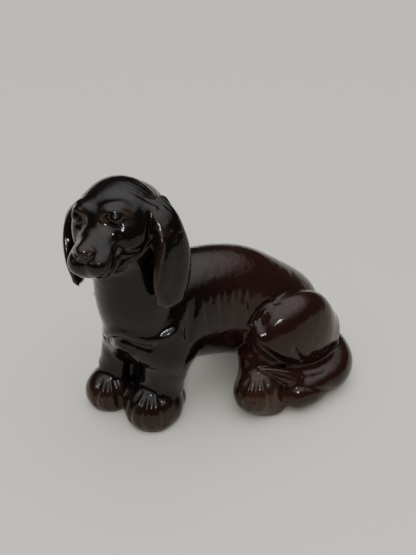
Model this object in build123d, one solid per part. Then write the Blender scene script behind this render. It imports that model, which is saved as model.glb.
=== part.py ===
"""Glazed pottery dog, sitting with its head turned to its left.

Frame: millimetres, +Z up, the dog faces -Y and +X is its left side. The origin is the
centre of the whole figure's bounding box, on the table it sits on.

The figure is made of soft clay members pressed together with slip before firing: a hollow
body with the neck drawn up out of it, a head, ears, eyes, a nose, legs, paws and a tail.
Every member is cut by the members it is pressed onto, so they meet face to face.
"""

import os
from math import cos, radians, sin

from build123d import *

os.makedirs("parts", exist_ok=True)

# --- driving sizes, mm ------------------------------------------------------------------
BODY_LENGTH = 47.5      # chest to rump
BODY_WIDTH = 17.8       # across the ribs
BACK_HEIGHT = 32.3      # table to the top of the back
WALL = 3.0              # wall of the hollow body
VENT_DIAMETER = 3.5     # hole under the rump that lets steam out in the kiln

SKULL_HEIGHT = 42.0     # table to the middle of the skull
SKULL_RADIUS = 8.8
MUZZLE_LENGTH = 13.0    # middle of the skull to the front of the lips
MUZZLE_WIDTH = 8.8
HEAD_TURN = 36.0        # degrees, towards the dog's left
HEAD_RAISE = 8.0        # degrees, nose up
HEAD_TILT = 12.0        # degrees, left side up
EYE_DIAMETER = 3.4
NOSE_WIDTH = 4.4
EAR_LENGTH = 19.0
EAR_WIDTH = 7.6
EAR_THICKNESS = 3.3
EAR_FLARE = 23.0        # degrees the front edge turns in towards the cheek

NECK_WIDTH = 15.6
FORE_TURN = 28.0        # degrees the forequarters turn towards the dog's left
FORELEG_WIDTH = 10.4
FOREPAW_LENGTH = 13.2
FOREPAW_WIDTH = 11.3
PAW_HEIGHT = 6.8
LEAD_PAW_SCALE = 0.88   # the right forepaw is a little smaller than the left
STANCE = 10.2           # between the middles of the forepaws, across the forequarters
LEAD_STEP = 1.0         # the right forepaw stands this far ahead of the left

THIGH_HEIGHT = 20.8
THIGH_THICKNESS = 10.8
HOCK_WIDTH = 8.6
HIND_PAW_LENGTH = 11.8
HIND_PAW_WIDTH = 11.2
HIND_TURN = 40.0        # degrees the hind paws turn outwards
TAIL_DIAMETER = 8.0

# --- fits ------------------------------------------------------------------------------
BEDDING = 0.6           # how deep an eye or the nose is pressed past its own middle
DOME_STEPS = (25.0, 45.0, 62.0, 76.0, 86.0)  # degrees round each rounded end
SPAN_STEPS = 3          # sections drawn between two stations of a member
OVAL_STEP = 30          # degrees between the points of each oval


# --- helpers -----------------------------------------------------------------------------
def limb(stations, across, start_cap, end_cap):
    """A rounded member: ovals (point, half width, half depth) along a spine, domed ends.

    The half width of every oval lies along the direction `across`.
    """
    across = Vector(across)
    rows = [
        eased(stations, index, step / SPAN_STEPS)
        for index in range(len(stations) - 1)
        for step in range(SPAN_STEPS)
    ]
    rows.append(eased(stations, len(stations) - 2, 1.0))
    last = len(rows) - 1
    sections = []
    for index, (point, half_width, half_depth) in enumerate(rows):
        along = (rows[min(index + 1, last)][0] - rows[max(index - 1, 0)][0]).normalized()
        sections.append((point, along, half_width, half_depth))
    start = [dome_section(sections[0], -start_cap, step) for step in reversed(DOME_STEPS)]
    end = [dome_section(sections[-1], end_cap, step) for step in DOME_STEPS]
    return loft([oval_on(section, across) for section in start + sections + end])


def eased(stations, index, t):
    """Point, half width and half depth between two stations, on a smooth curve."""
    near = [Vector(stations[index][0]), *stations[index][1:]]
    far = [Vector(stations[index + 1][0]), *stations[index + 1][1:]]
    before = stations[index - 1] if index else None
    after = stations[index + 2] if index + 2 < len(stations) else None
    row = []
    for part in range(3):
        p1, p2 = near[part], far[part]
        p0 = p1 * 2 - p2 if before is None else before[part]
        p3 = p2 * 2 - p1 if after is None else after[part]
        if part == 0:
            p0, p3 = Vector(p0), Vector(p3)
        bend = (p2 - p0) * t + (p0 * 2 - p1 * 5 + p2 * 4 - p3) * t**2
        row.append(p1 + (bend + (p1 * 3 - p0 - p2 * 3 + p3) * t**3) * 0.5)
    return row


def dome_section(section, cap, step):
    """The section `step` degrees round the dome of height `cap` beyond an end section."""
    point, along, half_width, half_depth = section
    shrink = cos(radians(step))
    centre = point + along * (cap * sin(radians(step)))
    return (centre, along, half_width * shrink, half_depth * shrink)


def oval_on(section, across):
    """The oval of one section as a face square to the spine, always starting on `across`."""
    point, along, half_width, half_depth = section
    wide = (across - along * across.dot(along)).normalized()
    deep = along.cross(wide)
    rim = [
        point + wide * (half_width * cos(radians(turn))) + deep * (half_depth * sin(radians(turn)))
        for turn in range(0, 360, OVAL_STEP)
    ]
    return make_face(Spline(*rim, periodic=True))


def below_table():
    """Everything under the table top, for cutting soles flat."""
    depth = 4 * BACK_HEIGHT
    size = 6 * BODY_LENGTH
    return Pos(0, 0, -depth / 2) * Box(size, size, depth)


def body_point(side, along, up):
    """A point given in body widths, body lengths and back heights."""
    return (side * BODY_WIDTH, along * BODY_LENGTH, up * BACK_HEIGHT)


def turned(degrees):
    """Level directions (forward, left) of something turned to the dog's left."""
    angle = radians(degrees)
    return Vector(sin(angle), -cos(angle), 0), Vector(cos(angle), sin(angle), 0)


# --- body --------------------------------------------------------------------------------
def body_stations(inset):
    """The body's spine, with every half size reduced by `inset`."""
    half = BODY_WIDTH / 2
    deep = BACK_HEIGHT / 2
    rows = [
        (0.03, -0.39, 0.60, 0.85, 0.47),
        (0.01, -0.27, 0.61, 1.00, 0.71),
        (-0.01, -0.13, 0.63, 1.00, 0.74),
        (-0.01, 0.04, 0.58, 0.98, 0.74),
        (0.00, 0.19, 0.46, 1.03, 0.66),
        (0.00, 0.32, 0.31, 1.06, 0.61),
        (0.00, 0.41, 0.22, 0.88, 0.47),
    ]
    return [
        (body_point(side, along, up), wide * half - inset, tall * deep - inset)
        for side, along, up, wide, tall in rows
    ]


def neck_stations():
    """The neck, rising out of the chest to the middle of the skull."""
    half = NECK_WIDTH / 2
    low = Vector(body_point(0.03, -0.33, 0.62))
    top = skull_point(0, -0.1, -0.45)
    rows = [(0.00, 0.96, 1.08), (0.39, 1.01, 1.10), (0.72, 0.97, 0.98), (1.00, 0.92, 0.90)]
    return [
        (low + (top - low) * rise, wide * half, deep * half)
        for rise, wide, deep in rows
    ]


# --- head ----------------------------------------------------------------------------------
def skull_location():
    """Where the upright head, facing -Y about its own middle, is set on the neck."""
    side, along, _ = body_point(-0.08, -0.40, 0)
    turn = Rot(0, 0, HEAD_TURN) * Rot(-HEAD_RAISE, 0, 0) * Rot(0, -HEAD_TILT, 0)
    return Pos(side, along, SKULL_HEIGHT) * turn


def skull_point(left, forward, up):
    """A point of the head, given in skull radii, in the whole figure's frame."""
    local = Pos(left * SKULL_RADIUS, -forward * SKULL_RADIUS, up * SKULL_RADIUS)
    return (skull_location() * local).position


def head_shape():
    """Skull and muzzle, in the head's own frame."""
    skull = SKULL_RADIUS
    lips = MUZZLE_WIDTH / 2
    rows = [
        (-0.48 * MUZZLE_LENGTH, 0.2, 0.73 * skull, 0.75 * skull),
        (-0.19 * MUZZLE_LENGTH, 0.3, 1.00 * skull, 1.00 * skull),
        (0.09 * MUZZLE_LENGTH, 0.1, 1.01 * skull, 0.98 * skull),
        (0.35 * MUZZLE_LENGTH, -0.7, 0.85 * skull, 0.82 * skull),
        (0.58 * MUZZLE_LENGTH, -1.7, 1.23 * lips, 1.11 * lips),
        (0.77 * MUZZLE_LENGTH, -2.2, 1.00 * lips, 0.82 * lips),
        (0.89 * MUZZLE_LENGTH, -2.3, 0.84 * lips, 0.68 * lips),
    ]
    stations = [((0, -forward, up), wide, tall) for forward, up, wide, tall in rows]
    return limb(stations, (1, 0, 0), 0.39 * skull, 0.11 * MUZZLE_LENGTH)


def ear_shape(side, droop, spread):
    """One ear hanging from the side of the skull; `side` is 1 for left, -1 for right."""
    flare = radians(EAR_FLARE)
    across = (-side * sin(flare), -cos(flare), 0)
    half = EAR_WIDTH / 2
    thick = EAR_THICKNESS / 2
    rows = [
        (-0.10, 0.84, 0.21 * droop, 0.84, 0.91),
        (-0.05, 1.10, 0.05 * droop, 0.82, 1.09),
        (0.04, 1.21, -0.19 * droop, 1.04, 0.97),
        (0.13, 1.17, -0.43 * droop, 1.12, 0.91),
        (0.18, 1.11, -0.62 * droop, 0.88, 0.73),
    ]
    stations = [
        ((side * out * spread * SKULL_RADIUS, -forward * SKULL_RADIUS, up * EAR_LENGTH),
         wide * half, deep * thick)
        for forward, out, up, wide, deep in rows
    ]
    return limb(stations, across, 0.08 * EAR_LENGTH, 0.1 * EAR_LENGTH)


def eye_shape(side):
    """One eye bead under the brow."""
    place = Pos(side * 0.45 * SKULL_RADIUS, -0.79 * SKULL_RADIUS, 0.42 * SKULL_RADIUS)
    return place * Sphere(EYE_DIAMETER / 2)


def nose_shape():
    """The nose button on the front of the muzzle."""
    half = NOSE_WIDTH / 2
    rows = [(0.85, 0.90, 0.62), (0.92, 1.00, 0.72), (0.97, 0.92, 0.66)]
    stations = [
        ((0, -forward * MUZZLE_LENGTH, -0.02 * SKULL_RADIUS), wide * half, tall * half)
        for forward, wide, tall in rows
    ]
    return limb(stations, (1, 0, 0), BEDDING, BEDDING)


# --- legs ------------------------------------------------------------------------------------
def fore_foot(side):
    """The middle of one forepaw on the table."""
    forward, left = turned(FORE_TURN)
    middle = Vector(body_point(0.06, -0.39, 0))
    return middle + left * (side * STANCE / 2) - forward * (side * LEAD_STEP / 2)


def foreleg_shape(side, scale):
    """One foreleg from the shoulder down into its paw."""
    forward, left = turned(FORE_TURN)
    half = FORELEG_WIDTH / 2 * scale
    shoulder = Vector(body_point(0.06, -0.31, 0.62)) + left * (side * 0.49 * STANCE)
    ankle = fore_foot(side) + Vector(0, 0, 0.9 * PAW_HEIGHT) - forward * (0.19 * FOREPAW_WIDTH / 2)
    knee = shoulder * 0.45 + ankle * 0.55
    upper = shoulder * 0.72 + ankle * 0.28
    rows = [
        (shoulder, 0.70, 0.85), (upper, 0.98, 1.10), (knee, 0.94, 0.95), (ankle, 0.86, 0.82)
    ]
    stations = [(point, wide * half, deep * half) for point, wide, deep in rows]
    return limb(stations, left, 0.6 * half, 0.2 * half)


def paw_shape(foot, turn, length, width, height):
    """One rounded paw standing at `foot`, pointing `turn` degrees to the dog's left."""
    forward, left = turned(turn)
    cap = 0.3 * length
    reach = length / 2 - cap
    half = width / 2
    rows = [(-0.9, 0.36, 0.80, 0.55), (0.0, 0.36, 1.00, 0.65), (1.0, 0.30, 0.95, 0.55)]
    stations = [
        (foot + forward * (step * reach) + Vector(0, 0, up * height), wide * half, tall * height)
        for step, up, wide, tall in rows
    ]
    return limb(stations, left, cap, cap)


def thigh_shape(side, rise):
    """One haunch lying along the side of the rump, from the knee back to the hip."""
    half = THIGH_HEIGHT / 2 * rise
    thick = THIGH_THICKNESS / 2
    rows = [
        (0.48, 0.10, 0.43, 0.46, 0.78),
        (0.49, 0.16, 0.42, 0.76, 0.93),
        (0.51, 0.24, 0.39, 0.96, 1.00),
        (0.47, 0.34, 0.32, 0.92, 1.00),
        (0.39, 0.43, 0.25, 0.62, 0.85),
    ]
    stations = [
        (body_point(side * out, along, up * rise), tall * half, deep * thick)
        for out, along, up, tall, deep in rows
    ]
    return limb(stations, (0, 0, 1), 0.23 * half, 0.29 * half)


def hind_leg_shape(side):
    """One hock and its paw, under the knee."""
    foot = Vector(body_point(side * 0.65, 0.12, 0))
    knee = Vector(body_point(side * 0.53, 0.10, 0.34))
    shin = Vector(body_point(side * 0.62, 0.09, 0.22))
    half = HOCK_WIDTH / 2
    ankle = foot + Vector(0, -0.02 * BODY_LENGTH, 0.44 * PAW_HEIGHT)
    rows = [(knee, 0.97, 0.84), (shin, 0.97, 0.93), (ankle, 1.02, 0.93)]
    stations = [(point, wide * half, deep * half) for point, wide, deep in rows]
    hock = limb(stations, (0, 1, 0), 0.35 * half, 0.23 * half)
    paw = paw_shape(foot, side * HIND_TURN, HIND_PAW_LENGTH, HIND_PAW_WIDTH, PAW_HEIGHT)
    return hock + paw


def tail_shape():
    """The tail, curled round the left haunch with its tip on the hind paw."""
    half = TAIL_DIAMETER / 2
    rows = [
        (0.00, 0.42, 0.14, 1.08, 1.08),
        (0.28, 0.48, 0.12, 1.00, 1.00),
        (0.59, 0.47, 0.11, 0.98, 0.98),
        (0.80, 0.40, 0.12, 0.90, 0.90),
        (0.85, 0.29, 0.15, 0.77, 0.75),
        (0.82, 0.20, 0.20, 0.56, 0.56),
        (0.74, 0.12, 0.24, 0.24, 0.28),
    ]
    stations = [
        (body_point(out, along, up), tall * half, deep * half)
        for out, along, up, tall, deep in rows
    ]
    return limb(stations, (0, 0, 1), 0.7 * half, 0.25 * half)


# --- build ---------------------------------------------------------------------------------
def build():
    """Every member by name, each cut by the members it is pressed onto."""
    table = below_table()
    across_neck = turned(FORE_TURN)[1]
    trunk = limb(body_stations(0), (1, 0, 0), 0.10 * BODY_LENGTH, 0.10 * BODY_LENGTH)
    neck = limb(neck_stations(), across_neck, 0.2 * NECK_WIDTH, 0.2 * NECK_WIDTH)
    solid_body = trunk + neck - table
    hollow_cap = 0.10 * BODY_LENGTH - WALL / 2
    hollow = limb(body_stations(WALL), (1, 0, 0), hollow_cap, hollow_cap)
    hollow -= Pos(0, 0, WALL) * table
    vent_y = 0.36 * BODY_LENGTH
    vent = Pos(0, vent_y, WALL) * Cylinder(VENT_DIAMETER / 2, 4 * WALL)

    set_head = skull_location()
    head = set_head * head_shape() - solid_body
    members = {"torso": solid_body - hollow - vent, "head": head}
    for name, side, droop, spread in (("left_ear", 1, 1.08, 1.0), ("right_ear", -1, 0.86, 1.06)):
        members[name] = set_head * ear_shape(side, droop, spread) - head - solid_body
    for name, side in (("left_eye", 1), ("right_eye", -1)):
        members[name] = set_head * eye_shape(side) - head
    members["nose"] = set_head * nose_shape() - head

    for word, side, scale in (("left", 1, 1.0), ("right", -1, LEAD_PAW_SCALE)):
        leg = foreleg_shape(side, scale) - solid_body - table
        paw = paw_shape(fore_foot(side), FORE_TURN, FOREPAW_LENGTH * scale,
                        FOREPAW_WIDTH * scale, PAW_HEIGHT)
        members[f"{word}_foreleg"] = leg
        paw -= table
        if "left_forepaw" in members:
            paw -= members["left_forepaw"]
        members[f"{word}_forepaw"] = paw - leg
    for word, side, rise in (("left", 1, 1.0), ("right", -1, 0.88)):
        thigh = thigh_shape(side, rise) - solid_body - table
        members[f"{word}_thigh"] = thigh
        members[f"{word}_hind_paw"] = hind_leg_shape(side) - thigh - solid_body - table
    tail = tail_shape() - table - solid_body
    for name in ("left_thigh", "left_hind_paw"):
        tail -= members[name]
    members["tail"] = tail
    return members


def largest(shape):
    """The member itself, without any crumbs left by cutting it."""
    return max(shape.solids(), key=lambda solid: solid.volume)


pieces = {name: largest(shape) for name, shape in build().items()}
rims = [point for piece in pieces.values() for point in piece.tessellate(0.02)[0]]
left_right, back_front = [
    (min(values), max(values)) for values in ([p.X for p in rims], [p.Y for p in rims])
]
centre = Pos(-sum(left_right) / 2, -sum(back_front) / 2, 0)
for name, piece in pieces.items():
    export_step(centre * piece, f"parts/{name}.step")
print(f"{len(pieces)} members")
print(f"across {left_right[0]:.2f} to {left_right[1]:.2f}, along {back_front[0]:.2f} to"
      f" {back_front[1]:.2f}, top {max(p.Z for p in rims):.2f} mm, before centring")
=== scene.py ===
"""Looks of the glazed pottery dog, sculpted on top of the packed clay members.

The members' solids are melted into one clay volume with softened joins, the modelling
(face, ears, fur, folds, toes) is pressed into that volume, and its skin is then shared
out again to the members, so every piece stands for its own CAD node.
Lengths are in millimetres until the pieces are made.
"""

import math

import bpy
import numpy as np
import openvdb
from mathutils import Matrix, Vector


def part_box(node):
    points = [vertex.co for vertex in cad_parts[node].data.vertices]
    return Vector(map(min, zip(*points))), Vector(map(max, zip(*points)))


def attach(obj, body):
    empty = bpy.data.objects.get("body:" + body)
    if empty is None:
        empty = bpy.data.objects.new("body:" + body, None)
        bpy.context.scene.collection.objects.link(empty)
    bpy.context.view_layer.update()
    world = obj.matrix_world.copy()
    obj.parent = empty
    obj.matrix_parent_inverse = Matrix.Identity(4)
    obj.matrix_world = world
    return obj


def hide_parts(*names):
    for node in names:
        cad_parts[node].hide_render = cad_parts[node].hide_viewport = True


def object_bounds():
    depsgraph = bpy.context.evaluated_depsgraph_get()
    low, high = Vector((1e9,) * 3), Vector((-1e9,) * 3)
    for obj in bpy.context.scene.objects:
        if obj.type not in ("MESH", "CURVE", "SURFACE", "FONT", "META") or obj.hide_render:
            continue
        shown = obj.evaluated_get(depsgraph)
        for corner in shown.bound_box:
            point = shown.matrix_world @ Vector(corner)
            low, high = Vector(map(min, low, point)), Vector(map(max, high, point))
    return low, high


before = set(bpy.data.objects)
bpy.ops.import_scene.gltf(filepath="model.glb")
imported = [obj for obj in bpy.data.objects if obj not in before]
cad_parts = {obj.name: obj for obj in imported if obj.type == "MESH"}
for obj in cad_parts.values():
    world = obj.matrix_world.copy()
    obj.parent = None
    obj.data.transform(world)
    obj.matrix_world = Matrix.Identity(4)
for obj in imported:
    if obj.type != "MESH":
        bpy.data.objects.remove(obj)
CAD_BOX = [list(corner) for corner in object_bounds()]

MM = 0.001
STEP = 0.22     # size of one cell of the clay volume
REACH = 2.6                             # how far from a skin distances are kept
MARGIN = 4.0
RNG = np.random.default_rng(7)


# --- the clay volume -------------------------------------------------------------------
LOW = np.array(CAD_BOX[0]) / MM - MARGIN
HIGH = np.array(CAD_BOX[1]) / MM + MARGIN
SHAPE = tuple(int(n) for n in np.ceil((HIGH - LOW) / STEP))
BAND = REACH / STEP


def cells(low, high):
    """Slices of the volume between two corners."""
    start = np.clip(np.floor((np.asarray(low) - LOW) / STEP).astype(int), 0, SHAPE)
    stop = np.clip(np.ceil((np.asarray(high) - LOW) / STEP).astype(int) + 1, 0, SHAPE)
    return tuple(slice(a, b) for a, b in zip(start, stop))


def places(block):
    """Positions of the cells of a block, as an (x, y, z, 3) array."""
    axes = [LOW[i] + STEP * np.arange(s.start, s.stop) for i, s in enumerate(block)]
    return np.stack(np.meshgrid(*axes, indexing="ij"), -1).astype(np.float32)


def node_distance(name):
    """(block, signed distance) of one CAD node, in the cells round it."""
    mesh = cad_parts[name].data
    points = np.empty(len(mesh.vertices) * 3, np.float32)
    mesh.vertices.foreach_get("co", points)
    points = points.reshape(-1, 3) / MM
    mesh.calc_loop_triangles()
    corners = np.empty(len(mesh.loop_triangles) * 3, np.int32)
    mesh.loop_triangles.foreach_get("vertices", corners)
    grid = openvdb.FloatGrid.createLevelSetFromPolygons(
        ((points - LOW) / STEP).astype(np.float32),
        triangles=corners.reshape(-1, 3).astype(np.uint32),
        transform=openvdb.createLinearTransform(voxelSize=1.0),
        halfWidth=BAND,
    )
    block = cells(points.min(0) - REACH, points.max(0) + REACH)
    values = np.full([s.stop - s.start for s in block], BAND, np.float32)
    grid.copyToArray(values, ijk=tuple(s.start for s in block))
    return block, values * STEP


def melt(a, b, soft):
    """Smooth union of two distances, with a fillet about `soft` wide."""
    near = np.maximum(soft - np.abs(a - b), 0.0) / soft
    return np.minimum(a, b) - near * near * soft * 0.25


def fill_hollow(values):
    """Closes the hollow inside a casting: every cell between its two outer walls is clay."""
    clay = values < 0
    left = np.logical_or.accumulate(clay, axis=0)
    right = np.logical_or.accumulate(clay[::-1], axis=0)[::-1]
    deep = np.minimum(values, -REACH)
    return np.where(left & right & ~clay, deep, values)


def between_cells(field, at):
    """Values of a field at places counted in cells, by trilinear interpolation."""
    base = at.astype(int)
    t = at - base
    total = 0
    for i in (0, 1):
        for j in (0, 1):
            for k in (0, 1):
                weight = (
                    (t[..., 0] if i else 1 - t[..., 0])
                    * (t[..., 1] if j else 1 - t[..., 1])
                    * (t[..., 2] if k else 1 - t[..., 2])
                )
                total = total + weight * field[base[..., 0] + i, base[..., 1] + j, base[..., 2] + k]
    return total


def sample(points):
    """The clay's distance at any points."""
    at = (np.asarray(points, np.float64) - LOW) / STEP
    return between_cells(clay, np.clip(at, 0, np.array(clay.shape) - 1.001))


def slope(points, span):
    """Direction away from the clay at any points."""
    columns = []
    for axis in range(3):
        push = np.zeros(3)
        push[axis] = span
        columns.append(sample(points + push) - sample(points - push))
    found = np.stack(columns, -1)
    return found / np.maximum(np.linalg.norm(found, axis=-1, keepdims=True), 1e-9)


def snap(points):
    """Moves points onto the clay's skin."""
    points = np.array(points, float)
    for _ in range(6):
        points = points - slope(points, STEP) * sample(points)[..., None] * 0.9
    return points


def curve_through(points, steps=6):
    """A smooth run of points through the given ones."""
    p = np.array(points, float)
    if len(p) == 1:
        return p
    padded = np.vstack([2 * p[0] - p[1], p, 2 * p[-1] - p[-2]])
    run = []
    for i in range(len(p) - 1):
        a, b, c, d = padded[i:i + 4]
        for t in np.arange(steps) / steps:
            run.append(0.5 * (2 * b + (c - a) * t + (2 * a - 5 * b + 4 * c - d) * t**2
                              + (3 * b - a - 3 * c + d) * t**3))
    run.append(p[-1])
    return np.array(run)


def spread_over(values, count):
    """The given values spread evenly over `count` places."""
    values = np.atleast_1d(np.asarray(values, float))
    return np.interp(np.linspace(0, 1, count), np.linspace(0, 1, len(values)), values)


def distance_to(run, widths, where):
    """(distance to a run of points, its width there) at every place."""
    best = np.full(where.shape[:-1], 1e6, np.float32)
    width = np.zeros_like(best)
    if len(run) == 1:
        return np.linalg.norm(where - run[0], axis=-1), np.full(best.shape, widths[0])
    for a, b, wa, wb in zip(run, run[1:], widths, widths[1:]):
        ab = b - a
        t = np.clip(((where - a) @ ab) / max(ab @ ab, 1e-9), 0, 1)
        d = np.linalg.norm(where - a - t[..., None] * ab, axis=-1)
        closer = d < best
        best = np.where(closer, d, best)
        width = np.where(closer, wa + (wb - wa) * t, width)
    return best, width


def stroke(points, width, depth, on_skin=True):
    """Presses a groove `depth` deep along the points; a negative depth raises a ridge."""
    run = curve_through(snap(points) if on_skin else points)
    if on_skin:
        run = snap(run)
    widths, depths = spread_over(width, len(run)), spread_over(depth, len(run))
    block = cells(run.min(0) - 2.5 * widths.max(), run.max(0) + 2.5 * widths.max())
    where = places(block)
    d, w = distance_to(run, widths, where)
    _, amount = distance_to(run, depths, where)
    clay[block] += (amount * np.exp(-((d / w) ** 2))).astype(np.float32)


def roll_on(points, radii, soft):
    """Adds a rolled strip of clay of the given radii along the points."""
    run = curve_through(points)
    radii = spread_over(radii, len(run))
    pad = radii.max() + soft
    block = cells(run.min(0) - pad, run.max(0) + pad)
    d, r = distance_to(run, radii, places(block))
    clay[block] = melt(clay[block], (d - r).astype(np.float32), soft)


def bulge(centre, radii, axes, soft, cut=False):
    """Adds an ellipsoid of clay, or scoops it out."""
    centre, radii = np.asarray(centre, float), np.asarray(radii, float)
    pad = radii.max() + soft + 0.5
    block = cells(centre - pad, centre + pad)
    local = (places(block) - centre) @ np.asarray(axes, float).T
    near = np.linalg.norm(local / radii, axis=-1)
    steep = np.maximum(np.linalg.norm(local / radii**2, axis=-1), 1e-6)
    d = (near * (near - 1) / steep).astype(np.float32)
    clay[block] = -melt(-clay[block], d, soft) if cut else melt(clay[block], d, soft)


def place_in(name, across, along, up):
    """A place in a member's box, each share 0 at its low side and 1 at its high side."""
    low, high = (np.array(corner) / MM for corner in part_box(name))
    return low + (high - low) * np.array([across, along, up])


def bowed(start, end, bow, count=5):
    """Places on a line between two places that bows aside by `bow` at its middle."""
    t = np.linspace(0, 1, count)[:, None]
    start, end = np.asarray(start, float), np.asarray(end, float)
    return start + (end - start) * t + np.asarray(bow, float) * (4 * t * (1 - t))


def met_from(outside, toward):
    """Where a line from outside the clay first meets its skin."""
    line = outside + (toward - outside) * np.linspace(0, 1, 200)[:, None]
    clay_cells = np.flatnonzero(sample(line) < 0)
    return line[clay_cells[0]] if len(clay_cells) else toward


def from_left(name, rows):
    """Skin of the left side, at shares along and up the box of a member."""
    found = []
    for along, up in rows:
        place = place_in(name, 0.5, along, up)
        found.append(met_from(place * (0, 1, 1) + (30.0, 0, 0), place * (0, 1, 1)))
    return np.array(found)


def soften(passes):
    """Rounds the clay as glaze does."""
    part = clay
    for _ in range(passes):
        for axis in range(3):
            ahead, behind = np.roll(part, -1, axis), np.roll(part, 1, axis)
            part = part * 0.5 + (ahead + behind) * 0.25
    inner = tuple(slice(passes, -passes) for _ in range(3))
    clay[inner] = part[inner]


# --- members melted together ---------------------------------------------------------------
JOINS = {
    "torso": 1.0, "head": 1.8,
    "left_foreleg": 2.2, "right_foreleg": 2.2, "left_forepaw": 1.2, "right_forepaw": 1.2,
    "left_thigh": 1.0, "right_thigh": 1.0, "left_hind_paw": 1.2, "right_hind_paw": 1.2,
    "tail": 0.6, "left_ear": 0.8, "right_ear": 0.8,
}
PRESSED_ON = ("nose", "left_eye", "right_eye")
clay = np.full(SHAPE, REACH, np.float32)
fields = {}
for name in [*JOINS, *PRESSED_ON]:
    block, values = node_distance(name)
    fields[name] = (block, fill_hollow(values) if name == "torso" else values)
for name, soft in JOINS.items():
    block, values = fields[name]
    clay[block] = melt(clay[block], values, soft)
soften(2)


# --- the head's own directions -----------------------------------------------------------
def middle(name):
    low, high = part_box(name)
    return np.array((low + high) / 2) / MM


EYE_FORWARD, EYE_UP = 7.3, 4.0      # the eyes' place from the middle of the skull
NOSE_FORWARD, NOSE_UP = 12.0, -0.2
between_eyes = (middle("left_eye") + middle("right_eye")) / 2
LEFTWARD = middle("left_eye") - middle("right_eye")
LEFTWARD = LEFTWARD / np.linalg.norm(LEFTWARD)
to_nose = middle("nose") - between_eyes
to_nose = to_nose - LEFTWARD * (to_nose @ LEFTWARD)
fall = math.atan2(EYE_UP - NOSE_UP, NOSE_FORWARD - EYE_FORWARD)
to_nose = to_nose / np.linalg.norm(to_nose)
side_of_nose = np.cross(LEFTWARD, to_nose)
FORWARD = to_nose * math.cos(fall) - side_of_nose * math.sin(fall)
UPWARD = np.cross(FORWARD, LEFTWARD)
UPWARD = UPWARD if UPWARD[2] > 0 else -UPWARD
if abs((to_nose @ UPWARD) + math.sin(fall)) > 0.2:
    FORWARD = to_nose * math.cos(fall) + side_of_nose * math.sin(fall)
    UPWARD = np.cross(LEFTWARD, -FORWARD)
SKULL = between_eyes - FORWARD * EYE_FORWARD - UPWARD * EYE_UP
HEAD_AXES = np.array([LEFTWARD, FORWARD, UPWARD])


def head(left, forward, up):
    """A point of the head, in millimetres from the middle of the skull."""
    return SKULL + LEFTWARD * left + FORWARD * forward + UPWARD * up


def head_run(side, rows):
    return [head(side * left, forward, up) for left, forward, up in rows]


# --- face ------------------------------------------------------------------------------------
blushes = []        # where the glaze breaks to tan: (run of points, reach, amount)


def blush(points, reach, amount):
    blushes.append((curve_through(points), reach, amount))


def face_line(side, start, end, bow, width, depth):
    """A groove of the face that bows aside; all places are (left, forward, up) of the head."""
    run = bowed(np.array(start), np.array(end), bow)
    stroke(head_run(side, run), width, depth)


def face(side):
    """Brow, socket, eye, flew and jaw of one side of the head."""
    bulge(head(side * 1.8, 9.4, -2.7), (2.9, 3.7, 2.6), HEAD_AXES, 1.0)
    roll_on(head_run(side, [(1.0, 6.5, 5.3), (2.4, 6.3, 6.0), (4.2, 5.2, 6.1), (5.8, 3.9, 5.0)]),
            [0.8, 1.0, 0.9, 0.4], 1.8)
    bulge(head(side * 4.1, 8.2, 4.2), (2.3, 1.2, 1.4), HEAD_AXES, 1.3, cut=True)
    bulge(head(side * 3.85, 6.45, 4.65), (1.4, 1.4, 1.25), HEAD_AXES, 0.15)
    roll_on(head_run(side, [(1.9, 7.3, 5.0), (3.0, 7.3, 5.95), (4.4, 6.7, 5.9), (5.6, 5.6, 4.8)]),
            [0.3, 0.45, 0.4, 0.2], 0.6)
    tear, flew, mouth_corner, chin = (4.8, 8.0, 0.0), (2.4, 11.5, -4.2), (8.2, 2.8, -0.2), (2.4, 8.6, -5.2)
    face_line(side, (3.4, 8.4, 2.6), tear, (0.4, 0.2, 0), 1.1, [0.2, 0.7, 0.6])
    face_line(side, tear, flew, (0.8, 0.4, 0), 0.45, [0.3, 1.0, 0.9, 0.2])
    face_line(side, (4.0, 8.2, -1.4), (3.2, 10.2, -4.0), (0.2, 0, 0), 0.4, [0, 0.6, 0.3])
    face_line(side, tear, mouth_corner, (0.2, 0.4, -1.8), 0.4, [0.5, 1.1, 1.0, 0.3])
    face_line(side, chin, mouth_corner, (1.0, 0.8, -2.2), 0.42, [0.5, 1.0, 0.9, 0.2])
    blush(head_run(side, [(5.3, 6.2, 5.4), (6.0, 5.3, 4.9)]), 0.8, 0.10)
    blush(head_run(side, [(2.2, 8.0, 5.0), (2.6, 8.4, 3.4)]), 1.0, 0.12)


def nostril(side):
    bulge(head(side * 0.95, 13.4, -0.4), (0.45, 0.8, 0.36), HEAD_AXES, 0.25, cut=True)
    stroke(head_run(side, [(1.6, 12.7, 0.4), (2.2, 12.2, -0.4), (1.7, 12.4, -1.4)]), 0.35, 0.4)


bulge(head(0, 9.2, 0.2), (1.9, 4.4, 1.8), HEAD_AXES, 1.8)
for side in (1, -1):
    face(side)
block, values = fields["nose"]
clay[block] = melt(clay[block], values, 0.4)
bulge(head(0, 12.0, -0.2), (2.4, 1.2, 1.3), HEAD_AXES, 0.5)
for side in (1, -1):
    nostril(side)
stroke([head(-2.0, 12.5, -1.4), head(0, 13.0, -1.7), head(2.0, 12.5, -1.4)], 0.35, [0.1, 0.3, 0.1])
blush([head(-1.4, 12.8, 0.2), head(1.4, 12.8, 0.2)], 1.0, 0.06)


# --- crown and ears ----------------------------------------------------------------------------
SKULL_RADIUS = 8.8
LOCKS = 7               # fine ridges fanned from the crown over the root of each ear


def on_skull(side, left, forward):
    """A place on the ball of the skull."""
    return head(side * left, forward, math.sqrt(SKULL_RADIUS**2 - left**2 - forward**2))


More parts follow.
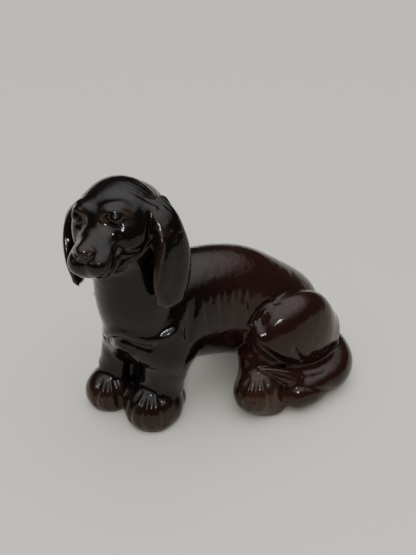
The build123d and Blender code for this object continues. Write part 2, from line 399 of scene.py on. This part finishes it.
def ear_work(side):
    """Ridges swept from the crown over one ear, its rolled front edge and its pit."""
    for lock in range(LOCKS):
        back = lock / (LOCKS - 1)
        start = on_skull(side, 3.6 - 1.8 * back, 1.8 - 5.2 * back)
        end = head(side * (10.6 - 0.8 * (lock % 2)), -0.2 - 3.6 * back, 3.4 - 1.6 * back)
        swell = LEFTWARD * side * 0.9 + UPWARD * 0.9
        stroke(bowed(start, end, swell), 0.32, [0, 0.36, 0.44 - 0.16 * (lock % 2), 0.3, 0])
    bulge(head(side * 9.9, 4.2, 0.9), (1.6, 1.5, 3.6), HEAD_AXES, 0.6, cut=True)
    root, waist, lobe, tip = (8.4, 0.6, 4.6), (10.2, 2.0, -0.6), (9.2, 4.7, -9.0), (9.6, 2.8, -14.0)
    edge = snap(curve_through(head_run(side, [root, waist, lobe, tip])))
    roll_on(edge[::3], [0.25, 0.45, 0.42, 0.32, 0.28, 0.25, 0.15], 0.5)
    blush(edge, 0.35, 0.11)
    blush(edge[-6:-1], 0.6, 0.08)
    stroke(bowed(head(side * 8.0, 1.6, 5.0), head(side * 8.7, 3.6, 0.4), (0, 0, 0)), 0.5, [0, 0.6, 0.4])
    stroke(bowed(head(side * 11.8, 0.6, -1.6), head(side * 10.8, 1.8, -10.0), LEFTWARD * side * 0.3),
           [1.2, 1.8, 1.5], [0.1, 0.3, 0.25])
    pit = np.array([side * 12.2, 1.1, 1.3])
    bulge(head(*pit), (1.0, 0.8, 0.8), HEAD_AXES, 0.4, cut=True)
    blush(snap([head(*(pit + (-1.2 * side, 0.4, 1.0))), head(*(pit + (-1.2 * side, 0.6, -0.8)))]), 0.6, 0.05)


for side in (1, -1):
    ear_work(side)
soften(1)


# --- body --------------------------------------------------------------------------------------
FORE_TURN = math.radians(28.0)
FOREWARD = np.array([math.sin(FORE_TURN), -math.cos(FORE_TURN), 0.0])
FORE_AXES = np.array([[math.cos(FORE_TURN), math.sin(FORE_TURN), 0.0], FOREWARD, [0.0, 0.0, 1.0]])


LEFTHAND = FORE_AXES[0]
FOREPAW_RADII = np.array([5.5, 6.2, 5.2])
LEAD_SCALE = 0.88                       # the right forepaw is a little smaller
HIND_RADII = np.array([4.6, 5.0, 4.8])
HIND_SET_IN, HIND_SET_BACK = 4.3, 3.2   # a hind paw's middle from its outer side and its front


def turned(axes, degrees, rise):
    """A direction `degrees` from the second axis towards the first, raised by `rise` degrees."""
    turn, lift = math.radians(degrees), math.radians(rise)
    return np.array([math.sin(turn) * math.cos(lift), math.cos(turn) * math.cos(lift), math.sin(lift)]) @ axes


def toe_lines(middle_of_paw, radii, axes, turns, width, depth):
    """Grooves that run down over the front of a paw and part its toes."""
    for turn in turns:
        rows = []
        for rise in (66, 48, 30, 12, -8):
            across = turned(np.eye(3), turn, rise)
            rows.append(middle_of_paw + (across * radii * 1.02) @ axes)
        stroke(rows, width, [0, depth, depth, depth, 0.6 * depth])


def fore_paw(name, scale, turns):
    """The high rounded top of one forepaw and its toes."""
    core = middle(name) * (1, 1, 0) + (0, 0, 3.2 * scale)
    core = core + FOREWARD * 1.1 - LEFTHAND * 0.1
    radii = FOREPAW_RADII * scale
    bulge(core, radii, FORE_AXES, 1.0)
    toe_lines(core, radii, FORE_AXES, turns, 0.46, 0.75)


def hind_paw(side, name):
    """The rounded front of one hind paw and its toes."""
    low, high = (np.array(corner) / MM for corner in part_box(name))
    outer = high[0] if side > 0 else low[0]
    core = np.array([outer - side * HIND_SET_IN, low[1] + HIND_SET_BACK, 4.8])
    axes = np.array([[side, 0, 0], [0, -1, 0], [0, 0, 1]])
    bulge(core, HIND_RADII, axes, 1.5)
    toe_lines(core, HIND_RADII, axes, (20, 45, 69, 94), 0.42, 0.62)
    around = [core + (turned(np.eye(3), turn, 14) * HIND_RADII * 1.02) @ axes for turn in (30, 55, 80)]
    stroke(around, 0.3, [0, 0.2, 0])


# the breast's lower edge: degrees from straight ahead towards the left, and height up the body
BREAST_EDGE = ((-55, 0.43), (-20, 0.50), (12, 0.56), (50, 0.51), (85, 0.54), (105, 0.63))


def round_breast(rows, lower):
    """Skin round the breast at the given turns and heights, `lower` shares further down."""
    found = []
    for degrees, height in rows:
        inside = place_in("torso", 0.55, 0.17, height - lower)
        found.append(met_from(inside + turned(FORE_AXES, degrees, 0) * 20.0, inside))
    return np.array(found)


def chest():
    """The breast's rolled lower edge, the flap under it and the hollow between the forelegs."""
    between = (middle("left_forepaw") + middle("right_forepaw")) / 2 * (1, 1, 0)
    bulge(between - FOREWARD * 2.4 + (0, 0, 8.5), (4.5, 2.2, 6.5), FORE_AXES, 1.0)
    bulge(between + FOREWARD * 6.6 + LEFTHAND * 1.2 + (0, 0, 12.8), (3.2, 4.4, 5.4), FORE_AXES, 1.0, cut=True)
    bulge(between + FOREWARD * 7.8 - LEFTHAND * 1.6 + (0, 0, 11.8), (2.4, 3.2, 5.2), FORE_AXES, 1.0, cut=True)
    stroke(round_breast(BREAST_EDGE, 0.0), 0.85, [-0.1, -0.65, -0.7, -0.5, -0.4, 0])
    stroke(round_breast(BREAST_EDGE[:4], 0.045), 0.6, [0.4, 1.3, 1.5, 0.4])
    roll_on(round_breast(((-6, 0.53), (10, 0.55), (26, 0.53)), 0.09), [0.25, 0.55, 0.3], 0.6)


HAIRS = 7               # combed strands on the ribs


def flank():
    """Shoulder fold and the combed hair of the ribs, on the left side."""
    for shift, depth in ((0.0, 0.65), (-0.02, 0.35)):
        fold = [(0.35 + shift, 0.68), (0.33 + shift, 0.60), (0.31 + shift, 0.52), (0.30 + shift, 0.45)]
        stroke(from_left("torso", fold), 0.6, [0, depth, depth, 0])
    for hair in range(HAIRS):
        along, top = 0.385 + 0.031 * hair, 0.70 - 0.013 * hair
        foot = 0.55 - 0.09 * ((hair + 1) % 2)
        rows = [(along, top), (along - 0.005, (top + foot) / 2), (along + 0.004, foot)]
        stroke(from_left("torso", rows), 0.42, [0, 0.22 + 0.08 * ((hair + 1) % 2), 0])


def haunch():
    """The lower edge of the thigh, the folds in it and the strands that run into the tail."""
    thigh, tail = "left_thigh", "tail"
    upper_edge = from_left(thigh, [(0.05, 0.82), (0.12, 0.92), (0.24, 0.97), (0.38, 0.98)])
    stroke(upper_edge, 0.4, [0.4, 0.5, 0.4, 0])
    lower_edge = from_left(thigh, bowed((0.02, 0.71), (0.39, 0.37), (-0.01, -0.04)))
    stroke(lower_edge, 0.6, [0.3, 1.0, 1.0, 0.6, 0.1])
    stroke(from_left(thigh, [(0.34, 0.64), (0.37, 0.54), (0.44, 0.40)]), 0.5, [0, 0.5, 0.2])
    stroke(from_left(thigh, [(0.53, 0.45), (0.64, 0.36), (0.76, 0.30)]), 0.4, [0, 0.4, 0])
    hock, tip = place_in(thigh, 0.93, 0.03, 0.43), place_in(tail, 0.88, 0.19, 0.80)
    leaf = bowed(hock, tip, (0.2, 0, 0.3))
    roll_on(leaf, [0.35, 1.0, 1.5, 1.8], 0.4)
    stroke(leaf + (0.6, 0.4, 1.0), 0.4, [0, -0.3, -0.3, 0])
    stroke(leaf + (1.2, 0.2, 0.3), 0.3, [0, 0.3, 0])
    underside = bowed(place_in(tail, 0.66, 0.57, 0.38), place_in(tail, 0.91, 0.21, 0.43), (1.6, 0.6, 0))
    roll_on(underside, 3.4, 1.0)
    low_strand = bowed(place_in(tail, 0.96, 0.16, 0.72), place_in(tail, 0.92, 0.62, 0.32), (1.2, 0, 0))
    stroke(low_strand, 0.4, [0, 0.35, 0])
    high_strand = bowed(place_in(tail, 0.90, 0.18, 0.86), place_in(tail, 0.88, 0.55, 0.70), (0.9, 0, 0))
    stroke(high_strand, 0.5, [0, 0.3, 0])


fore_paw("left_forepaw", 1.0, (-12, 14, 38, 64))
fore_paw("right_forepaw", LEAD_SCALE, (6, 36, 60))
hind_paw(1, "left_hind_paw")
hind_paw(-1, "right_hind_paw")
chest()
flank()
haunch()
blush([place_in("left_hind_paw", 0.8, 0.15, 0.4), place_in("left_hind_paw", 0.9, 0.35, 0.35)], 3.2, 0.09)
blush([place_in("left_forepaw", 0.75, 0.2, 0.5), place_in("left_forepaw", 0.95, 0.45, 0.45)], 2.4, 0.05)
blush([place_in("right_forepaw", 0.7, 0.0, 0.5), place_in("right_forepaw", 0.95, 0.2, 0.55)], 2.4, 0.07)
clay = np.maximum(clay, -(LOW[2] + STEP * np.arange(SHAPE[2], dtype=np.float32))[None, None, :])


# --- skin, shared out to the members -----------------------------------------------------------
def skin():
    """Points and quads of the clay's skin."""
    grid = openvdb.FloatGrid(REACH)
    grid.copyFromArray(clay)
    grid.transform = openvdb.createLinearTransform(voxelSize=STEP)
    points, quads = grid.convertToQuads(isovalue=0.0)
    points = points + LOW
    quads = quads[:, ::-1].astype(np.int64)
    a, b, c = points[quads[:, 0]], points[quads[:, 1]], points[quads[:, 2]]
    facing = np.einsum("ij,ij->i", np.cross(b - a, c - a), slope(a, STEP))
    return points, quads if facing.mean() > 0 else quads[:, ::-1]


def groups_of(count, pairs):
    """A group number for each of `count` things, the same for things joined by pairs."""
    group = np.arange(count)
    for _ in range(400):
        low = np.minimum(group[pairs[:, 0]], group[pairs[:, 1]])
        before = group.copy()
        np.minimum.at(group, pairs[:, 0], low)
        np.minimum.at(group, pairs[:, 1], low)
        group = group[group]
        if (group == before).all():
            break
    return group


def nearest_member(points):
    """The number of the member whose solid is nearest to each point."""
    names = list(fields)
    best = np.full(len(points), 1e6)
    label = np.zeros(len(points), int)
    for number, name in enumerate(names):
        block, values = fields[name]
        start = np.array([s.start for s in block])
        at = (points - LOW) / STEP - start
        inside = np.all((at >= 0) & (at <= np.array(values.shape) - 1.001), axis=1)
        distance = np.full(len(points), REACH + 1.0)
        distance[inside] = between_cells(values, at[inside])
        closer = distance < best
        best = np.where(closer, distance, best)
        label = np.where(closer, number, label)
    return names, label


def neighbours(quads):
    """Pairs of quads that share an edge."""
    edges = np.sort(np.stack([quads, np.roll(quads, -1, axis=1)], -1).reshape(-1, 2), axis=1)
    owner = np.repeat(np.arange(len(quads)), 4)
    key = edges[:, 0] * (quads.max() + 1) + edges[:, 1]
    order = np.argsort(key, kind="stable")
    key, owner = key[order], owner[order]
    same = key[1:] == key[:-1]
    return np.stack([owner[:-1][same], owner[1:][same]], -1)


def tidy_labels(label, pairs, count):
    """Gives every crumb of skin cut off from its member to the member round it."""
    for _ in range(3):
        group = groups_of(len(label), pairs[label[pairs[:, 0]] == label[pairs[:, 1]]])
        sizes = np.bincount(group, minlength=len(label))
        main = np.zeros(len(label), bool)
        for number in range(count):
            mine = np.where(label == number)[0]
            if len(mine):
                main |= group == group[mine[np.argmax(sizes[group[mine]])]]
        crumbs = ~main
        if not crumbs.any():
            break
        for _ in range(60):
            for a, b in ((0, 1), (1, 0)):
                take = crumbs[pairs[:, a]] & ~crumbs[pairs[:, b]]
                label[pairs[take, a]] = label[pairs[take, b]]
                crumbs[pairs[take, a]] = False
            if not crumbs.any():
                break
    return label


def rim_loops(rim):
    """Rim edges (from, to) chained into closed loops of point numbers."""
    onward = {}
    for a, b in rim.tolist():
        onward.setdefault(a, []).append(b)
    loops = []
    while onward:
        start = next(iter(onward))
        loop, at = [], start
        while at in onward:
            loop.append(at)
            following = onward[at].pop()
            if not onward[at]:
                del onward[at]
            at = following
            if at == start:
                break
        if len(loop) > 2:
            loops.append(loop)
    return loops


SINK = 0.7          # how deep the hidden seats of a piece lie under the skin
RINGS = 7


def sunk(points):
    """The points, pushed at least SINK deep into the clay."""
    for _ in range(4):
        points = points - slope(points, STEP) * np.maximum(sample(points) + SINK, 0)[:, None]
    return points


def closed_piece(points, quads):
    """The piece's own points and faces, each open seat closed by rings sunk in the clay."""
    used = np.unique(quads)
    renumber = np.full(len(points), -1)
    renumber[used] = np.arange(len(used))
    own = renumber[quads]
    edges = np.stack([own, np.roll(own, -1, axis=1)], -1).reshape(-1, 2)
    key = np.sort(edges, axis=1)
    _, first, counts = np.unique(key[:, 0] * len(used) + key[:, 1], return_index=True, return_counts=True)
    caps, hidden = [], []
    for loop in rim_loops(edges[first[counts == 1]]):
        ring = np.array(loop)
        place = points[used[ring]]
        for step in range(RINGS):
            around = sum(np.roll(place, turn, axis=0) for turn in (-2, -1, 0, 1, 2)) / 5
            place = sunk(around + (around.mean(0) - around) * (step / RINGS))
            inner = len(used) + len(hidden) + np.arange(len(ring))
            hidden.extend(place)
            ahead, inner_ahead = np.roll(ring, -1), np.roll(inner, -1)
            caps += list(zip(ahead.tolist(), ring.tolist(), inner.tolist(), inner_ahead.tolist()))
            ring = inner
        hub = len(used) + len(hidden)
        hidden.append(place.mean(0))
        caps += [(int(b), int(a), hub) for a, b in zip(ring, np.roll(ring, -1))]
    return used, own, caps, np.array(hidden).reshape(-1, 3)


def make_piece(name, points, normals, quads, marks, material):
    used, own, caps, centres = closed_piece(points, quads)
    mesh = bpy.data.meshes.new(name)
    every = np.vstack([points[used], centres]) * MM
    mesh.from_pydata(every.tolist(), [], own.tolist() + caps)
    mesh.update()
    mesh.polygons.foreach_set("use_smooth", [True] * len(mesh.polygons))
    own_normals = np.vstack([normals[used], np.tile([0.0, 0.0, 1.0], (len(centres), 1))])
    mesh.normals_split_custom_set_from_vertices(own_normals.tolist())
    for title, values in marks.items():
        attribute = mesh.attributes.new(title, "FLOAT", "POINT")
        all_values = np.append(values[used], np.zeros(len(centres)))
        attribute.data.foreach_set("value", all_values.astype(np.float32))
    mesh.materials.append(material)
    piece = bpy.data.objects.new(name + "_clay", mesh)
    bpy.context.scene.collection.objects.link(piece)
    return piece


# --- glaze -----------------------------------------------------------------------------------------
def node(tree, kind, **values):
    made = tree.nodes.new(kind)
    for key, value in values.items():
        if key in made.inputs.keys():
            made.inputs[key].default_value = value
        else:
            setattr(made, key, value)
    return made


GLAZE_IOR = 1.5
GLAZE_SHINE = 0.30
POOLED, WORN = 0.15, 0.95               # how thin the glaze is where it is darkest and reddest
SMOOTHEST, ROUGHEST = 0.06, 0.20


def glaze(name, dark, red, tan):
    """Thick glossy glaze: near black where it pools, red-brown and tan where it runs thin."""
    material = bpy.data.materials.new(name)
    material.use_nodes = True
    tree = material.node_tree
    link = tree.links.new
    shader = tree.nodes["Principled BSDF"]
    shader.inputs["IOR"].default_value = GLAZE_IOR
    shader.inputs["Specular IOR Level"].default_value = GLAZE_SHINE
    where = node(tree, "ShaderNodeTexCoord")
    thin = node(tree, "ShaderNodeAttribute", attribute_name="thin")
    warm = node(tree, "ShaderNodeAttribute", attribute_name="warm")
    mottle = node(tree, "ShaderNodeTexNoise", Scale=380.0, Detail=5.0, Roughness=0.65)
    specks = node(tree, "ShaderNodeTexNoise", Scale=2400.0, Detail=2.0, Roughness=0.5)
    for texture in (mottle, specks):
        link(where.outputs["Object"], texture.inputs["Vector"])
    shift = node(tree, "ShaderNodeMath", operation="MULTIPLY_ADD")
    link(mottle.outputs["Fac"], shift.inputs[0])
    shift.inputs[1].default_value = 0.7
    shift.inputs[2].default_value = -0.35
    spread = node(tree, "ShaderNodeMath", operation="ADD")
    link(thin.outputs["Fac"], spread.inputs[0])
    link(shift.outputs[0], spread.inputs[1])
    ramp = node(tree, "ShaderNodeValToRGB")
    stops = ramp.color_ramp
    stops.elements[0].position, stops.elements[0].color = POOLED, (*dark, 1)
    stops.elements[1].position, stops.elements[1].color = WORN, (*red, 1)
    link(spread.outputs[0], ramp.inputs["Fac"])
    blend = node(tree, "ShaderNodeMix", data_type="RGBA")
    link(warm.outputs["Fac"], blend.inputs["Factor"])
    link(ramp.outputs["Color"], blend.inputs[6])
    blend.inputs[7].default_value = (*tan, 1)
    link(blend.outputs[2], shader.inputs["Base Color"])
    rough = node(tree, "ShaderNodeMapRange")
    link(specks.outputs["Fac"], rough.inputs["Value"])
    rough.inputs["To Min"].default_value = SMOOTHEST
    rough.inputs["To Max"].default_value = ROUGHEST
    link(rough.outputs["Result"], shader.inputs["Roughness"])
    peel = node(tree, "ShaderNodeTexNoise", Scale=520.0, Detail=3.0, Roughness=0.5)
    link(where.outputs["Object"], peel.inputs["Vector"])
    bump = node(tree, "ShaderNodeBump", Strength=0.25, Distance=0.0005)
    link(peel.outputs["Fac"], bump.inputs["Height"])
    link(bump.outputs["Normal"], shader.inputs["Normal"])
    return material


GLAZES = {
    "brown_glaze": glaze(
        "brown_glaze", (0.0052, 0.0040, 0.0036), (0.026, 0.0088, 0.0070), (0.28, 0.14, 0.08),
    ),
    "eye_glaze": glaze(
        "eye_glaze", (0.004, 0.0035, 0.0035), (0.010, 0.006, 0.005), (0.05, 0.025, 0.015),
    ),
}

points, quads = skin()
shells = groups_of(len(quads), neighbours(quads))
quads = quads[shells == np.argmax(np.bincount(shells))]
normals = slope(points, 0.8 * STEP)
names, label = nearest_member(points[quads].mean(1))
label = tidy_labels(label, neighbours(quads), len(names))
round_off = np.zeros(len(points))
for _ in range(6):
    aside = np.cross(normals, RNG.normal(size=3))
    aside /= np.maximum(np.linalg.norm(aside, axis=1, keepdims=True), 1e-6)
    round_off += sample(points + aside * 0.9) / 6
REAR_FROM, REAR_TO = -10.0, 6.0         # the glaze turns redder from the shoulder back
rear = np.clip((points[:, 1] - REAR_FROM) / (REAR_TO - REAR_FROM), 0, 1)
rear = rear * (1 - np.clip((points[:, 2] - 31.0) / 4.0, 0, 1))
feet = np.clip((8.0 - points[:, 2]) / 6.0, 0, 1)
redder = np.maximum(rear * rear * (3 - 2 * rear), feet)
warmth = np.zeros(len(points))
for run, reach, amount in blushes:
    d, _ = distance_to(run, np.ones(len(run)), points)
    warmth = np.maximum(warmth, amount * np.exp(-((d / reach) ** 2)))
marks = {
    "thin": np.clip(0.12 + 0.55 * redder + np.clip(round_off, -0.3, 0.4) * 0.7, 0, 1),
    "warm": warmth,
}
for number, name in enumerate(names):
    mine = quads[label == number]
    slot_name = "eye_glaze" if name.endswith("eye") else "brown_glaze"
    piece = make_piece(name, points, normals, mine, marks, GLAZES[slot_name])
    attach(piece, "root")
    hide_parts(name)


# --- table, light and camera -------------------------------------------------------------------------
TABLE_HALF = 1.2
TABLE_COLOUR = (0.66, 0.635, 0.58, 1)
TABLE_ROUGHNESS = 0.45


def pale_table():
    corners = [(x * TABLE_HALF, y * TABLE_HALF, 0) for x, y in ((-1, -1), (1, -1), (1, 1), (-1, 1))]
    mesh = bpy.data.meshes.new("table")
    mesh.from_pydata(corners, [], [(0, 1, 2, 3)])
    table = bpy.data.objects.new("table", mesh)
    bpy.context.scene.collection.objects.link(table)
    material = bpy.data.materials.new("pale_table")
    material.use_nodes = True
    shader = material.node_tree.nodes["Principled BSDF"]
    shader.inputs["Base Color"].default_value = TABLE_COLOUR
    shader.inputs["Roughness"].default_value = TABLE_ROUGHNESS
    mesh.materials.append(material)
    return table


def soft_light(name, place, aim, size, power):
    data = bpy.data.lights.new(name, "AREA")
    data.size, data.energy = size, power
    lamp = bpy.data.objects.new(name, data)
    lamp.location = place
    lamp.rotation_euler = (Vector(aim) - Vector(place)).to_track_quat("-Z", "Y").to_euler()
    bpy.context.scene.collection.objects.link(lamp)
    return lamp


pale_table()
LOW_SKY, HIGH_SKY = 0.48, 0.88          # heights between which the studio brightens
DIM, BRIGHT = (0.045, 0.045, 0.045, 1), (2.20, 2.20, 2.18, 1)
world = bpy.data.worlds.new("studio")
bpy.context.scene.world = world
world.use_nodes = True
backdrop = world.node_tree
sky = node(backdrop, "ShaderNodeTexCoord")
split = node(backdrop, "ShaderNodeSeparateXYZ")
shade = node(backdrop, "ShaderNodeValToRGB")
stops = shade.color_ramp
stops.elements[0].position, stops.elements[0].color = LOW_SKY, DIM
stops.elements[1].position, stops.elements[1].color = HIGH_SKY, BRIGHT
backdrop.links.new(sky.outputs["Generated"], split.inputs[0])
backdrop.links.new(split.outputs["Z"], shade.inputs["Fac"])
backdrop.links.new(shade.outputs["Color"], backdrop.nodes["Background"].inputs["Color"])
backdrop.nodes["Background"].inputs["Strength"].default_value = 1.0
soft_light("lamp", (0.36, -0.20, 0.36), (0, 0, 0.03), 0.025, 0.5)

VIEW_AZIMUTH, VIEW_ELEVATION = math.radians(64.0), math.radians(37.0)
VIEW_DISTANCE = 0.240
VIEW_AIM = Vector((-0.0117, 0.0057, 0.0159))
LENS = 98.65
camera_data = bpy.data.cameras.new("camera")
camera_data.sensor_fit = "HORIZONTAL"
camera_data.sensor_width = 36.0
camera_data.lens = LENS
camera = bpy.data.objects.new("camera", camera_data)
back = Vector((
    math.sin(VIEW_AZIMUTH) * math.cos(VIEW_ELEVATION),
    -math.cos(VIEW_AZIMUTH) * math.cos(VIEW_ELEVATION),
    math.sin(VIEW_ELEVATION),
))
camera.location = VIEW_AIM + back * VIEW_DISTANCE
camera.rotation_euler = back.to_track_quat("Z", "Y").to_euler()
bpy.context.scene.collection.objects.link(camera)
bpy.context.scene.camera = camera
